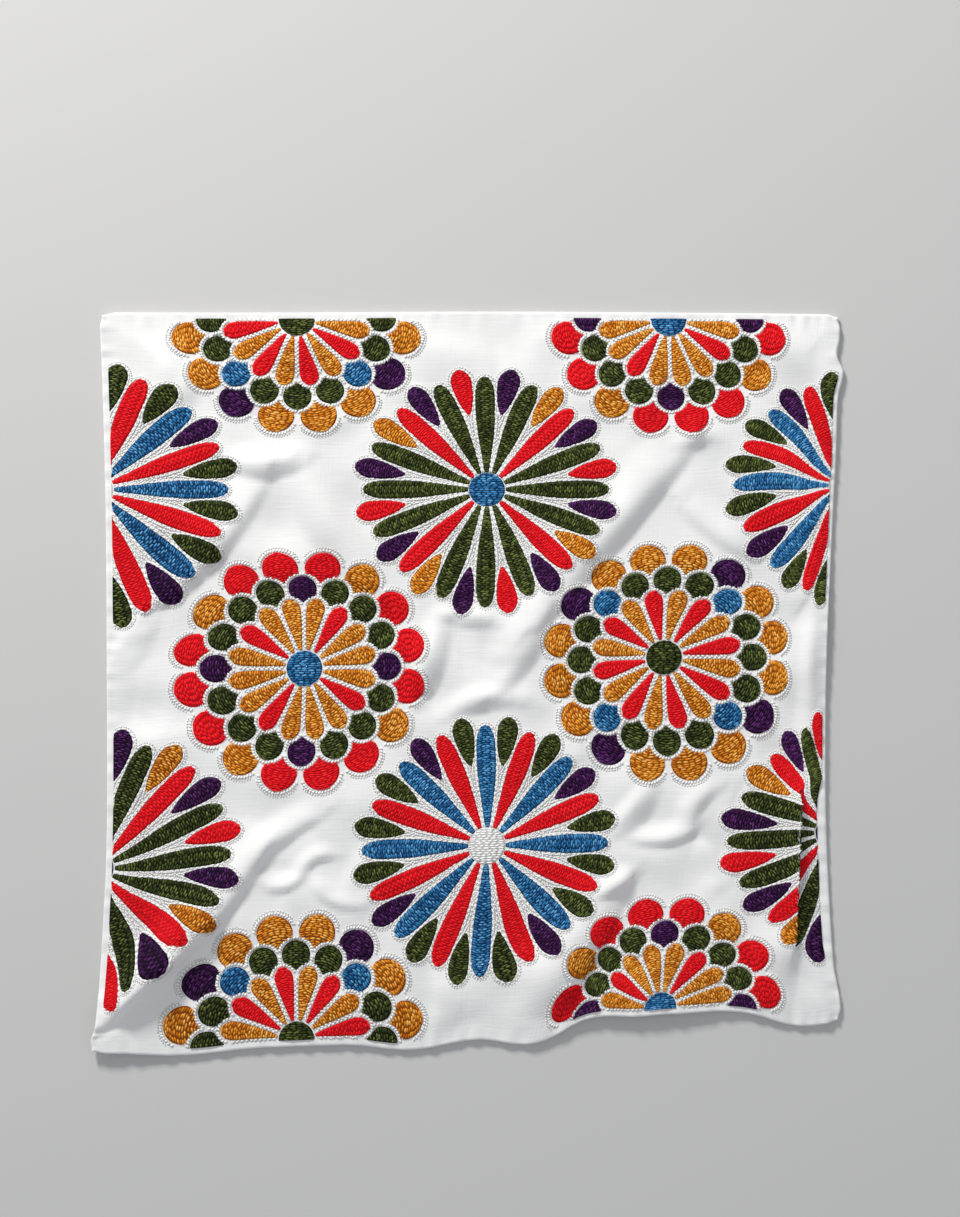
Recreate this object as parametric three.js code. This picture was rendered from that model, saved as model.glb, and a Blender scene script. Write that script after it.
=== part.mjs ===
// A square cushion cover of white cotton, embroidered on its front, empty and opened out flat.
// Two panels are sewn together round the edge and turned, and the cover lies on its back as it was put
// down, with the creases of having been folded and packed.
// Units are millimetres. X runs along the top seam, Y from the bottom seam to the top one, and Z up from
// the surface. The origin is under the middle of the outline, on that surface.

import * as THREE from 'three';

// Each panel before it was laid down, from seam to seam
const FLAT_SIDE = 406;
const HALF = FLAT_SIDE / 2;
// The embroidered repeat, whose middle lines stay close to where the sections below put them
const QUARTER = 99.5;

// The front cloth carries the embroidery, so it is the thicker one
const FRONT_THICK = 1.2;
const BACK_THICK = 1.0;
// Between the panels along the seam, and how much further apart the air inside keeps them, past the run
// from the seam to the full height
const SEAM_GAP = 0.6;
const CROWN = 1.6;
const CROWN_RUN = 26;
// The share of a fold's height that is left where it meets the seam
const SEAM_SHARE = 0.35;

// Lattice cells along each side of a panel
const FRONT_CELLS = 42;
const BACK_CELLS = 21;

// How the cover lies: a row for each section across it, from the bottom seam to the top one. at is the
// section's place on the flat panel, and a pair gives X and Y of the point that was at that station of it.
const STATIONS = [-HALF, -QUARTER, 0, QUARTER, 160, HALF];
const COLUMNS = ['left', 'midLeft', 'middle', 'midRight', 'outer', 'right'];
const SECTIONS = [
  {
    name: 'bottom seam',
    at: -HALF,
    left: [-197.3, -195.5],
    midLeft: [-89.5, -191.7],
    middle: [3.4, -188.2],
    midRight: [101, -174.6],
    outer: [160, -176.6],
    right: [196.2, -178.7],
  },
  {
    name: 'lower bursts',
    at: -QUARTER,
    left: [-190.5, -90.7],
    midLeft: [-89.5, -89.2],
    middle: [11, -85.4],
    midRight: [107.5, -83.3],
    outer: [163.5, -82.9],
    right: [190.4, -82.8],
  },
  {
    name: 'rosettes',
    at: 0,
    left: [-190, 8.2],
    midLeft: [-85.2, 8.2],
    middle: [9.5, 10.8],
    midRight: [104.2, 14],
    outer: [165, 14],
    right: [190.4, 14],
  },
  {
    name: 'upper bursts',
    at: QUARTER,
    left: [-190.8, 102.4],
    midLeft: [-88.4, 102.4],
    middle: [11, 102.4],
    midRight: [108.5, 102.4],
    outer: [163.5, 102.4],
    right: [194.6, 102.4],
  },
  {
    name: 'top seam',
    at: HALF,
    left: [-193.7, 196],
    midLeft: [-89.5, 196],
    middle: [8.4, 196.5],
    midRight: [106.8, 196],
    outer: [163.5, 195.5],
    right: [197.8, 194.9],
  },
];
const ROWS = SECTIONS.map((section) => section.at);

// Where a seam strays from those sections: at is the place along the seam, X or Y by its run, reach how
// far to each side it strays, and push how far outward.
const BULGES = [
  { seam: 'bottom', at: -150, reach: 45, push: 2.6 },
  { seam: 'bottom', at: -30, reach: 34, push: 3.2 },
  { seam: 'bottom', at: 34, reach: 30, push: 5.4 },
  { seam: 'bottom', at: 68, reach: 26, push: -3.4 },
  { seam: 'bottom', at: 140, reach: 30, push: -2.2 },
  { seam: 'bottom', at: 176, reach: 26, push: 3.4 },
  { seam: 'right', at: 165, reach: 16, push: 2.6 },
  { seam: 'right', at: 173, reach: 9, push: -2.4 },
  { seam: 'right', at: -170, reach: 24, push: 2.2 },
  { seam: 'left', at: -192, reach: 14, push: 1.6 },
];
const BULGE_DEPTH = 45;

// The main folds, each a ridge from left to right along a curve through bend. rise is the crest's height,
// and above and below are how far its two flanks run out on either side, so that a short one is steep.
const FOLDS = [
  { name: 'shoulder', start: [14, -6], bend: [70, 66], end: [121, 130], rise: 6.5, above: 24, below: 13 },
  { name: 'hook', start: [110, 126], bend: [122, 131], end: [132, 129], rise: 3, above: 10, below: 10 },
  { name: 'lens', start: [-127, 119], bend: [-107, 116], end: [-86, 123], rise: 4, above: 15, below: 11 },
  { name: 'rib', start: [-92, 123], bend: [-73, 95], end: [-52, 63], rise: 4, above: 17, below: 14 },
  { name: 'short run', start: [-182, 26], bend: [-138, 62], end: [-103, 109], rise: 5, above: 26, below: 14 },
  { name: 'wedge', start: [-23, -6], bend: [-14, 22], end: [-8, 35], rise: 4, above: 13, below: 11 },
  { name: 'lip', start: [-11, 35], bend: [2, 37], end: [15, 34], rise: 3, above: 11, below: 10 },
  { name: 'shelf', start: [-13, -17], bend: [7, -10], end: [27, -8], rise: 3.5, above: 13, below: 10 },
  { name: 'slack', start: [114, 95], bend: [132, 79], end: [149, 66], rise: 2.5, above: 13, below: 13 },
  { name: 'drift', start: [-187, -161], bend: [-128, -115], end: [-77, -68], rise: 6, above: 25, below: 13 },
  { name: 'crook', start: [-108, -108], bend: [-88, -105], end: [-65, -91], rise: 3, above: 11, below: 10 },
  { name: 'cup', start: [88, -84], bend: [110, -87], end: [125, -72], rise: 4.5, above: 16, below: 11 },
  { name: 'cup lip', start: [122, -76], bend: [129, -63], end: [144, -56], rise: 3, above: 12, below: 10 },
  { name: 'haunch', start: [46, -178], bend: [65, -139], end: [88, -104], rise: 6, above: 28, below: 34 },
  { name: 'tuck', start: [175, -152], bend: [175.5, -104], end: [176, -56], rise: 4, above: 22, below: 9 },
];
const CREST_STEPS = 12;
// A fold is cut off a little before its crest line runs out, so that its two ends stay round
const CREST_END = 0.04;

// Where both panels leave the surface: round a point, out to reach
const LIFTS = [
  { name: 'lower left corner', at: [-200, -196], reach: 62, rise: 2.6 },
  { name: 'bottom arch', at: [96, -186], reach: 70, rise: 3.2 },
  { name: 'right seam', at: [205, 30], reach: 44, rise: 1.8 },
  { name: 'top left corner', at: [-200, 200], reach: 40, rise: 1.4 },
];

// A smooth hill of height 1 over a reach of 1
function hill(distance) {
  return 0.5 + 0.5 * Math.cos(Math.PI * THREE.MathUtils.clamp(distance, -1, 1));
}

// A smooth curve through the values at the stations, read at one place of the flat panel
function along(stations, values, place) {
  const last = stations.length - 1;
  let i = 0;
  while (i < last - 1 && place > stations[i + 1]) {
    i += 1;
  }
  const slope = (k) => {
    const low = Math.max(k - 1, 0);
    const high = Math.min(k + 1, last);
    return (values[high] - values[low]) / (stations[high] - stations[low]);
  };
  const run = stations[i + 1] - stations[i];
  const t = (place - stations[i]) / run;
  const between = values[i] * (2 * t ** 3 - 3 * t ** 2 + 1) + values[i + 1] * (3 * t ** 2 - 2 * t ** 3);
  return between + run * (slope(i) * (t ** 3 - 2 * t ** 2 + t) + slope(i + 1) * (t ** 3 - t ** 2));
}

// How far outward one seam strays at a place along it
function strayed(seam, place) {
  const rows = BULGES.filter((bulge) => bulge.seam === seam);
  return rows.reduce((sum, row) => sum + row.push * hill((place - row.at) / row.reach), 0);
}

// Where a point of the flat panel comes to lie, seen from above
function lain(u, v) {
  const [x, y] = [0, 1].map((axis) => {
    const across = SECTIONS.map((section) => {
      return along(STATIONS, COLUMNS.map((column) => section[column][axis]), u);
    });
    return along(ROWS, across, v);
  });
  const nearness = (edge) => hill((HALF - edge) / BULGE_DEPTH);
  return [
    x + strayed('right', y) * nearness(u) - strayed('left', y) * nearness(-u),
    y - strayed('bottom', x) * nearness(-v),
  ];
}

// The points of a fold's crest, on the curve that passes through its bend half way
function crest(fold) {
  const pull = fold.bend.map((value, axis) => 2 * value - (fold.start[axis] + fold.end[axis]) / 2);
  const curve = new THREE.QuadraticBezierCurve(
    new THREE.Vector2(...fold.start),
    new THREE.Vector2(...pull),
    new THREE.Vector2(...fold.end),
  );
  return curve.getPoints(CREST_STEPS);
}
const CRESTS = FOLDS.map(crest);

// How high one fold stands over a point, by the nearest place on its crest
function foldRise(fold, points, x, y) {
  let nearest = { distance: Infinity, side: 1, share: 0 };
  for (let i = 0; i < CREST_STEPS; i += 1) {
    const [a, b] = [points[i], points[i + 1]];
    const [runX, runY] = [b.x - a.x, b.y - a.y];
    const t = THREE.MathUtils.clamp(((x - a.x) * runX + (y - a.y) * runY) / (runX ** 2 + runY ** 2), 0, 1);
    const distance = Math.hypot(x - a.x - runX * t, y - a.y - runY * t);
    if (distance < nearest.distance) {
      const side = runX * (y - a.y) - runY * (x - a.x);
      nearest = { distance, side, share: (i + t) / CREST_STEPS };
    }
  }
  const flank = nearest.side > 0 ? fold.above : fold.below;
  const share = THREE.MathUtils.clamp(nearest.share, CREST_END, 1 - CREST_END);
  return fold.rise * Math.sin(Math.PI * share) ** 0.6 * hill(nearest.distance / flank);
}

// How high the surface that both panels follow is over a point
function lifted(x, y) {
  return LIFTS.reduce((sum, lift) => {
    return sum + lift.rise * hill(Math.hypot(x - lift.at[0], y - lift.at[1]) / lift.reach);
  }, 0);
}

// Under side of the back panel at one point of the flat cloth
function backUnder(u, v) {
  const [x, y] = lain(u, v);
  return new THREE.Vector3(x, y, lifted(x, y));
}

// Under side of the front panel at one point of the flat cloth
function frontUnder(u, v) {
  const [x, y] = lain(u, v);
  const fromSeam = HALF - Math.max(Math.abs(u), Math.abs(v));
  const inside = 1 - hill(fromSeam / CROWN_RUN);
  const folds = FOLDS.reduce((sum, fold, i) => sum + foldRise(fold, CRESTS[i], x, y), 0);
  const apart = SEAM_GAP + CROWN * inside + folds * (SEAM_SHARE + (1 - SEAM_SHARE) * inside);
  return new THREE.Vector3(x, y, lifted(x, y) + BACK_THICK + apart);
}

// A closed sheet of one thickness whose under side is given: a lattice below, a lattice above it along the
// cloth's own upward direction, and a strip round the edge
function sheet(under, cells, thick) {
  const side = cells + 1;
  const place = (i) => -HALF + (FLAT_SIDE * i) / cells;
  const low = [];
  for (let row = 0; row < side; row += 1) {
    for (let column = 0; column < side; column += 1) {
      low.push(under(place(column), place(row)));
    }
  }
  const near = (column, row) => {
    return low[THREE.MathUtils.clamp(row, 0, cells) * side + THREE.MathUtils.clamp(column, 0, cells)];
  };
  const high = low.map((corner, i) => {
    const [column, row] = [i % side, Math.floor(i / side)];
    const across = near(column + 1, row).clone().sub(near(column - 1, row));
    const onward = near(column, row + 1).clone().sub(near(column, row - 1));
    return corner.clone().addScaledVector(across.cross(onward).normalize(), thick);
  });
  const corners = [...low, ...high];
  const faces = [];
  const square = (a, b, c, d) => faces.push(a, b, c, a, c, d);
  const upper = side * side;
  for (let row = 0; row < cells; row += 1) {
    for (let column = 0; column < cells; column += 1) {
      const a = row * side + column;
      square(a, a + side, a + side + 1, a + 1);
      square(upper + a, upper + a + 1, upper + a + side + 1, upper + a + side);
    }
  }
  for (let i = 0; i < cells; i += 1) {
    const far = cells * side + i;
    const left = i * side;
    const right = left + cells;
    square(i, i + 1, upper + i + 1, upper + i);
    square(far + 1, far, upper + far, upper + far + 1);
    square(left + side, left, upper + left, upper + left + side);
    square(right, right + side, upper + right + side, upper + right);
  }
  const geometry = new THREE.BufferGeometry();
  geometry.setAttribute('position', new THREE.Float32BufferAttribute(corners.flatMap((p) => p.toArray()), 3));
  geometry.setIndex(faces);
  geometry.computeVertexNormals();
  return geometry;
}

function frontPanel() {
  const cotton = new THREE.MeshStandardMaterial({ color: 0xf1efeb, roughness: 0.92, metalness: 0 });
  const panel = new THREE.Mesh(sheet(frontUnder, FRONT_CELLS, FRONT_THICK), cotton);
  panel.name = 'front_panel';
  return panel;
}

function backPanel() {
  const cotton = new THREE.MeshStandardMaterial({ color: 0xeeece7, roughness: 0.94, metalness: 0 });
  const panel = new THREE.Mesh(sheet(backUnder, BACK_CELLS, BACK_THICK), cotton);
  panel.name = 'back_panel';
  return panel;
}

const cover = new THREE.Group();
cover.add(frontPanel(), backPanel());

export default cover;
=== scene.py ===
"""The look of a cushion cover of white cotton, embroidered in yarn and lying empty on its back."""
import math

import bmesh
import bpy
import numpy as np
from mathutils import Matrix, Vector


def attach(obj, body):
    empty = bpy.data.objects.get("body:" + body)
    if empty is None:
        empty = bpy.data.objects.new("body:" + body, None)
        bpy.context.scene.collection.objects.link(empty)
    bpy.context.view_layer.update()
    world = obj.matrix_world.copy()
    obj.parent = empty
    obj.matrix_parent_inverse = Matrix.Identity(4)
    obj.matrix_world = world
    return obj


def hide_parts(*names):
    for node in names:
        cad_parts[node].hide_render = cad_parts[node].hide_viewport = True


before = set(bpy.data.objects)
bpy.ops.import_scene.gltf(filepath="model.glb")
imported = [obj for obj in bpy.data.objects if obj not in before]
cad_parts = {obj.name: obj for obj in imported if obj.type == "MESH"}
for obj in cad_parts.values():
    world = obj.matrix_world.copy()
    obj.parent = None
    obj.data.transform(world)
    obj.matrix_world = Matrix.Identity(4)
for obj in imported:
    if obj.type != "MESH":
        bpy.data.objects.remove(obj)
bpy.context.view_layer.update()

# The view: straight down on the cover, as it was photographed, a little towards the top of the floor
VIEW_X, VIEW_Y = 0.0073, 0.0397
VIEW_HEIGHT = 1.52
FRAME_LENS = 85
FRAME_SIDE = 36
eye = bpy.data.cameras.new("view")
eye.lens = FRAME_LENS
eye.sensor_fit = "VERTICAL"
eye.sensor_height = FRAME_SIDE
camera = bpy.data.objects.new("view", eye)
camera.location = (VIEW_X, VIEW_Y, VIEW_HEIGHT)
bpy.context.collection.objects.link(camera)
bpy.context.scene.camera = camera
bpy.context.scene.view_settings.view_transform = "Standard"

# The floor: one pale board, darker than the cotton so that its edges show
FLOOR_SIDE = 6.0
FLOOR_TOP = -0.00005
FLOOR_GREY = (0.60, 0.595, 0.585, 1)
FLOOR_ROUGHNESS = 0.7
bpy.ops.mesh.primitive_plane_add(size=FLOOR_SIDE, location=(0, 0, FLOOR_TOP))
floor = bpy.context.object
floor.name = "floor"
floor_paint = bpy.data.materials.new("floor_paint")
floor_paint.use_nodes = True
floor_shader = floor_paint.node_tree.nodes["Principled BSDF"]
floor_shader.inputs["Base Color"].default_value = FLOOR_GREY
floor_shader.inputs["Roughness"].default_value = FLOOR_ROUGHNESS
floor.data.materials.append(floor_paint)

# The light: a window to the upper left, low enough for each crease to have a dark flank, and a pale room
LAMPS = [
    {"name": "window", "place": (-0.8, 1.74, 1.02), "size": 0.4, "watts": 46, "tint": (1, 0.985, 0.96)},
    {"name": "far wall", "place": (0.9, -1.3, 1.6), "size": 2.2, "watts": 2, "tint": (0.95, 0.97, 1)},
]
ROOM_GREY = (0.92, 0.95, 1, 1)
ROOM_STRENGTH = 0.46
for lamp in LAMPS:
    light = bpy.data.lights.new(lamp["name"], "AREA")
    light.size = lamp["size"]
    light.energy = lamp["watts"]
    light.color = lamp["tint"]
    holder = bpy.data.objects.new(lamp["name"], light)
    holder.location = lamp["place"]
    holder.rotation_euler = Vector(lamp["place"]).to_track_quat("Z", "Y").to_euler()
    bpy.context.collection.objects.link(holder)
room = bpy.data.worlds.new("room")
room.use_nodes = True
room.node_tree.nodes["Background"].inputs["Color"].default_value = ROOM_GREY
room.node_tree.nodes["Background"].inputs["Strength"].default_value = ROOM_STRENGTH
bpy.context.scene.world = room

# Front panel: a square of white cotton, sewn to the back round its edge and turned, so that the cloth rolls
# over at the seam. It lies with the creases of having been folded and packed. Sizes are in millimetres.
MM = 0.001
FLAT_SIDE = 406
HALF = FLAT_SIDE / 2
QUARTER = 99.5
FRONT_THICK = 0.9
# Height of its upper side at the seam, and how much higher the air inside keeps it past the run in
SEAM_TOP = 2.8
CROWN = 1.6
CROWN_RUN = 26
SEAM_SHARE = 0.35
# Radius at which the cloth rolls over at the seam, and how far a corner is drawn in
ROLL = 1.2
CORNER_REACH = 9
CORNER_DRAW = 1.3

# How the cover lies: a row for each section across it, with X and Y of the points at the stations
STATIONS = [-HALF, -QUARTER, 0, QUARTER, 160, HALF]
SECTIONS = {
    "bottom seam": [(-197.3, -195.5), (-89.5, -191.7), (3.4, -188.2), (101, -174.6), (160, -176.6),
                    (196.2, -178.7)],
    "lower bursts": [(-190.5, -90.7), (-89.5, -89.2), (11, -85.4), (107.5, -83.3), (163.5, -82.9),
                     (190.4, -82.8)],
    "rosettes": [(-190, 8.2), (-85.2, 8.2), (9.5, 10.8), (104.2, 14), (165, 14), (190.4, 14)],
    "upper bursts": [(-190.8, 102.4), (-88.4, 102.4), (11, 102.4), (108.5, 102.4), (163.5, 102.4),
                     (194.6, 102.4)],
    "top seam": [(-193.7, 196), (-89.5, 196), (8.4, 196.5), (106.8, 196), (163.5, 195.5), (197.8, 194.9)],
}
ROWS = [-HALF, -QUARTER, 0, QUARTER, HALF]

# Where a seam strays from those sections: seam, place along it, reach to each side, push outward
BULGES = [
    ("bottom", -150, 45, 2.6),
    ("bottom", -30, 34, 3.2),
    ("bottom", 34, 30, 5.4),
    ("bottom", 68, 26, -3.4),
    ("bottom", 140, 30, -2.2),
    ("bottom", 176, 26, 3.4),
    ("right", 165, 16, 2.6),
    ("right", 173, 9, -2.4),
    ("right", -170, 24, 2.2),
    ("left", -192, 14, 1.6),
]
BULGE_DEPTH = 45

# Where the cloth is dragged from those sections inside the seams: flat place, reach, drag in X and Y
DRAGS = [
    ((-135, 99.5), 50, (-2.3, 0)),
    ((-192, 160), 50, (0, 3.5)),
    ((-192, 38), 60, (0, -8)),
    ((0, 36), 50, (0, -2.5)),
    ((35, 185), 50, (3, 0)),
    ((-165, 0), 50, (-2.6, 0)),
    ((-99.5, 66), 45, (0, -2.6)),
    ((-195, -35), 45, (0, -3)),
    ((-203, -165), 50, (0, -12)),
    ((-176, -160), 30, (-6, -3)),
    ((70, -190), 42, (4, 0)),
    ((137, -99.5), 40, (-3.4, 0)),
    ((0, -162), 55, (0, -4.5)),
    ((-166, -190), 45, (-2.6, 0)),
    ((-35, -190), 50, (4, 0)),
    ((38, -185), 50, (8, 0)),
    ((-203, -99.5), 70, (0, -7)),
    ((200, -99.5), 60, (0, 4)),
    ((158, 99.5), 48, (0, 4.5)),
    ((196, 123), 28, (1, -4.5)),
    ((196, 78), 28, (1, 3.5)),
    ((203, 99.5), 32, (0, 2)),
]
DRAG_FADE = 22

# The creases, each a ridge along a curve: name, start, bend, end, height of the crest, and how far its flank
# runs on the side to the light and on the dark side, which lies to the right on the way. The dark flank
# steepens to its foot, as where cloth has been pressed in folding. A height below 0 makes a trough.
CREASES = [
    ("shoulder", (36, 32), (77, 83), (120, 130), 5.4, 22, 10.5),
    ("shoulder foot", (14, -4), (29, 18), (43, 44), 4.4, 20, 10),
    ("hook", (112, 126), (122, 130.5), (131, 129), 2, 8, 6),
    ("lens", (-126, 118.5), (-106, 116.5), (-85, 119), 4.2, 11, 9),
    ("rib", (-91, 119), (-72, 87), (-45, 46), 5, 14, 16),
    ("short run", (-170, 40), (-136, 68), (-105, 110), 3.9, 20, 7.5),
    ("sliver", (-188, 4), (-180, 24), (-165, 43), 2.6, 5, 15),
    ("wedge", (-25, -9), (-20, 13), (-12, 36), 4.4, 11, 10),
    ("lip", (-14, 36), (2, 37), (16, 32.5), 3, 6, 8),
    ("shelf", (-11, -17.5), (8, -7.5), (28, -9.5), 2.8, 9, 7),
    ("slack", (114, 95), (131, 82), (150, 67), 3.4, 16, 7),
    ("side", (180, -31), (183, 5), (182, 43), 2, 10, 8),
    ("drift", (-196, -180), (-153, -143), (-109, -92), 7, 22, 8),
    ("drift foot", (-210, -192), (-181, -169), (-142, -134), 5.4, 17, 6),
    ("drift end", (-118, -101), (-100, -81.5), (-75, -68), 3.2, 13, 6),
    ("crook", (-107, -106), (-97, -107), (-84, -100), 2.3, 8, 3.6),
    ("crook end", (-87, -101.5), (-81, -92), (-68, -91), 2.3, 7, 3.6),
    ("crook branch", (-80, -101), (-73, -112.5), (-55, -117.5), 2.6, 9, 4),
    ("cup", (85, -81.5), (106, -81.5), (122, -75), 3, 10, 4.6),
    ("cup lip", (118.5, -76), (120.5, -62.5), (133, -54.5), 3, 10, 6),
    ("cup side", (78, -77), (87, -66.5), (98, -54), 3.4, 8, 10),
    ("cup foot", (133, -102), (128, -90), (120, -84), 2, 12, 5),
    ("right wedge", (68, -112), (79, -105.5), (89, -101), 4, 9, 5.5),
    ("haunch", (40, -180), (52, -142), (80, -107), 7.5, 24, 17),
    ("corner", (157, -184), (160, -156), (164, -126), 2.6, 14, 15),
    ("corner rim", (190, -186), (189, -164), (186, -142), 1.8, 12, 6),
    ("right rim", (185, -130), (188, -10), (189, 110), 1.8, 12, 6),
    ("upper rim", (190, 90), (193, 140), (195, 186), 1.8, 12, 6),
    ("faint", (-161, 173), (-152.6, 159.8), (-143.6, 143.9), 1.5, 10, 8),
    ("streak", (-15.6, -186.7), (-13, -170.9), (-14, -155), 2, 8, 12),
    ("hollow", (-203, -16), (-180, -17), (-156, -21), -2.2, 18, 12),
]
# How a crease is drawn: steps of its curve, share of the way at which its ends are cut off, how it swells
# between them, how sharply its dark flank meets the foot, and the share of that flank left at its ends
CREST_STEPS = 12
CREST_END = 0.04
SWELL_POWER = 0.6
FOOT_POWER = 1.7
NARROWEST = 0.4

# Small creases of handling between them: how many, their lengths, heights and flanks, and how far a bend
# strays to the side as a share of the length
CRUMPLES = 150
CRUMPLE_LENGTHS = (10, 42)
CRUMPLE_HEIGHTS = (0.25, 0.95)
CRUMPLE_FLANKS = (3.5, 10)
CRUMPLE_BEND = 0.16
CRUMPLE_SEED = 23

# The pleat by the right seam: cloth from its crest on stands nearly upright, comes out again lower and
# slopes to the seam, so that the petals seem cut there. Rows are flat place across, drag in X and height. It
# leans, by a shift in X for each millimetre up the cover from the middle of its length.
PLEAT = [
    (146, 0, 0),
    (160, 1.4, 1.6),
    (172, 3.0, 4.8),
    (174, 2.5, 4.7),
    (179, -1.2, 3.4),
    (185, -6.0, 2.4),
    (187, -6.2, 2.3),
    (198.5, -3.3, 0.2),
    (203, 0, 0),
]
PLEAT_CREST = PLEAT[2][0]
PLEAT_LEAN = 0.045
PLEAT_MIDDLE = -100
# How much of the pleat there is at places up the cover, and the cloth across it that its fold hides
PLEAT_SPAN = [(-184, 0), (-152, 1), (-84, 1), (-64, 0)]
PLEAT_HIDDEN = (173.4, 186.2)

# Where both panels leave the floor: middle, reach, height
LIFTS = [((-200, -196), 62, 2.6), ((96, -186), 70, 3.2), ((205, 30), 44, 1.8), ((-200, 200), 40, 1.4)]

# Soft unevenness all over: how many waves, their lengths and height, and the puckers along the seam
WAVES = 16
WAVE_LENGTHS = (26, 92)
WAVE_HEIGHT = 0.2
WAVE_SEED = 11
PUCKER_LENGTHS = (8.5, 13.7)
PUCKER_HEIGHT = 0.22
PUCKER_RUN = 12


def hill(distance):
    """A smooth hill, 1 in its middle and 0 from a distance of 1 on"""
    return 0.5 + 0.5 * np.cos(np.pi * np.clip(distance, -1, 1))


def shares(stations, place):
    """How much each station counts for at each place, on the smooth curve through them all"""
    stations = np.array(stations, float)
    last = len(stations) - 1
    i = np.clip(np.searchsorted(stations, place, side="right") - 1, 0, last - 1)
    run = stations[i + 1] - stations[i]
    t = (place - stations[i]) / run
    found = np.zeros((len(place), last + 1))
    row = np.arange(len(place))
    np.add.at(found, (row, i), 2 * t**3 - 3 * t**2 + 1)
    np.add.at(found, (row, i + 1), 3 * t**2 - 2 * t**3)
    for end, amount in ((i, t**3 - 2 * t**2 + t), (i + 1, t**3 - t**2)):
        low, high = np.maximum(end - 1, 0), np.minimum(end + 1, last)
        slope = run * amount / (stations[high] - stations[low])
        np.add.at(found, (row, high), slope)
        np.add.at(found, (row, low), -slope)
    return found


def strayed(seam, place):
    """How far outward a seam strays at places along it"""
    return sum(push * hill((place - at) / reach) for side, at, reach, push in BULGES if side == seam)


def leant(u, v):
    """Flat places across, set back by the pleat's lean, which ends at the seam"""
    return u - PLEAT_LEAN * (v - PLEAT_MIDDLE) * hill((u - PLEAT_CREST) / (HALF - PLEAT_CREST))


def pleat(u, v):
    """Drag in X and height of the pleat over points of the flat panel"""
    at, drag, rise = np.array(PLEAT).T
    u = leant(u, v)
    span = np.interp(v, *np.array(PLEAT_SPAN).T)
    span = hill(1 - span)
    inside = (u > at[0]) & (u < at[-1])
    weight = shares(at, np.clip(u, at[0], at[-1])) * (span * inside)[:, None]
    return weight @ drag, weight @ rise


def lain(u, v):
    """X and Y at which points of the flat panel come to lie"""
    places = np.array(list(SECTIONS.values()), float)
    x, y = np.einsum("ns,nc,sca->an", shares(ROWS, v), shares(STATIONS, u), places)
    for at, reach, drag in DRAGS:
        near = hill(np.hypot(u - at[0], v - at[1]) / reach)
        x = x + drag[0] * near * (1 - hill((HALF - np.abs(u)) / DRAG_FADE))
        y = y + drag[1] * near * (1 - hill((HALF - np.abs(v)) / DRAG_FADE))
    corner = hill(np.hypot(HALF - np.abs(u), HALF - np.abs(v)) / CORNER_REACH)
    x = x + strayed("right", y) * hill((HALF - u) / BULGE_DEPTH)
    x = x - strayed("left", y) * hill((HALF + u) / BULGE_DEPTH) - np.sign(u) * CORNER_DRAW * corner
    y = y - strayed("bottom", x) * hill((HALF + v) / BULGE_DEPTH) - np.sign(v) * CORNER_DRAW * corner
    return x, y


def crease_height(crease, x, y):
    """How high one crease stands over points, by the nearest place on its crest"""
    _, start, bend, end, rise, above, below = crease
    start, bend, end = np.array(start, float), np.array(bend, float), np.array(end, float)
    height = np.zeros(len(x))
    middle = (start + end) / 2
    reach = np.hypot(*(end - start)) / 2 + np.hypot(*(bend - middle)) + max(above, below)
    near = np.hypot(x - middle[0], y - middle[1]) < reach
    x, y = x[near], y[near]
    pull = 2 * bend - middle
    t = np.linspace(0, 1, CREST_STEPS + 1)[:, None]
    crest = (1 - t) ** 2 * start + 2 * t * (1 - t) * pull + t**2 * end
    distance = np.full(len(x), np.inf)
    side = np.ones(len(x))
    share = np.zeros(len(x))
    for i in range(CREST_STEPS):
        run = crest[i + 1] - crest[i]
        off_x, off_y = x - crest[i, 0], y - crest[i, 1]
        along = np.clip((off_x * run[0] + off_y * run[1]) / (run @ run), 0, 1)
        gap = np.hypot(off_x - run[0] * along, off_y - run[1] * along)
        nearer = gap < distance
        distance = np.where(nearer, gap, distance)
        side = np.where(nearer, run[0] * off_y - run[1] * off_x, side)
        share = np.where(nearer, (i + along) / CREST_STEPS, share)
    swell = np.sin(np.pi * np.clip(share, CREST_END, 1 - CREST_END)) ** SWELL_POWER
    lit = hill(distance / above)
    dark = 1 - np.clip(distance / (below * (NARROWEST + (1 - NARROWEST) * swell)), 0, 1) ** FOOT_POWER
    height[near] = rise * swell * np.where(side > 0, lit, dark)
    return height


def crumples():
    """The small creases, strewn over the cover in every direction"""
    rng = np.random.default_rng(CRUMPLE_SEED)
    for _ in range(CRUMPLES):
        middle = rng.uniform(-HALF, HALF, 2)
        turn = rng.uniform(0, 2 * np.pi)
        half = np.array([math.cos(turn), math.sin(turn)]) * rng.uniform(*CRUMPLE_LENGTHS) / 2
        aside = np.array([-half[1], half[0]]) * 2 * rng.uniform(-CRUMPLE_BEND, CRUMPLE_BEND)
        rise = rng.uniform(*CRUMPLE_HEIGHTS) * rng.choice([-1, 1])
        flanks = rng.uniform(*CRUMPLE_FLANKS, 2)
        yield ("crumple", middle - half, middle + aside, middle + half, rise, *flanks)


def uneven(x, y):
    """Height of the soft unevenness of slack cotton"""
    rng = np.random.default_rng(WAVE_SEED)
    total = np.zeros(len(x))
    for _ in range(WAVES):
        turn, phase = rng.uniform(0, 2 * np.pi, 2)
        length = rng.uniform(*WAVE_LENGTHS)
        total += np.sin(2 * np.pi * (x * math.cos(turn) + y * math.sin(turn)) / length + phase)
    return WAVE_HEIGHT * total


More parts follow.
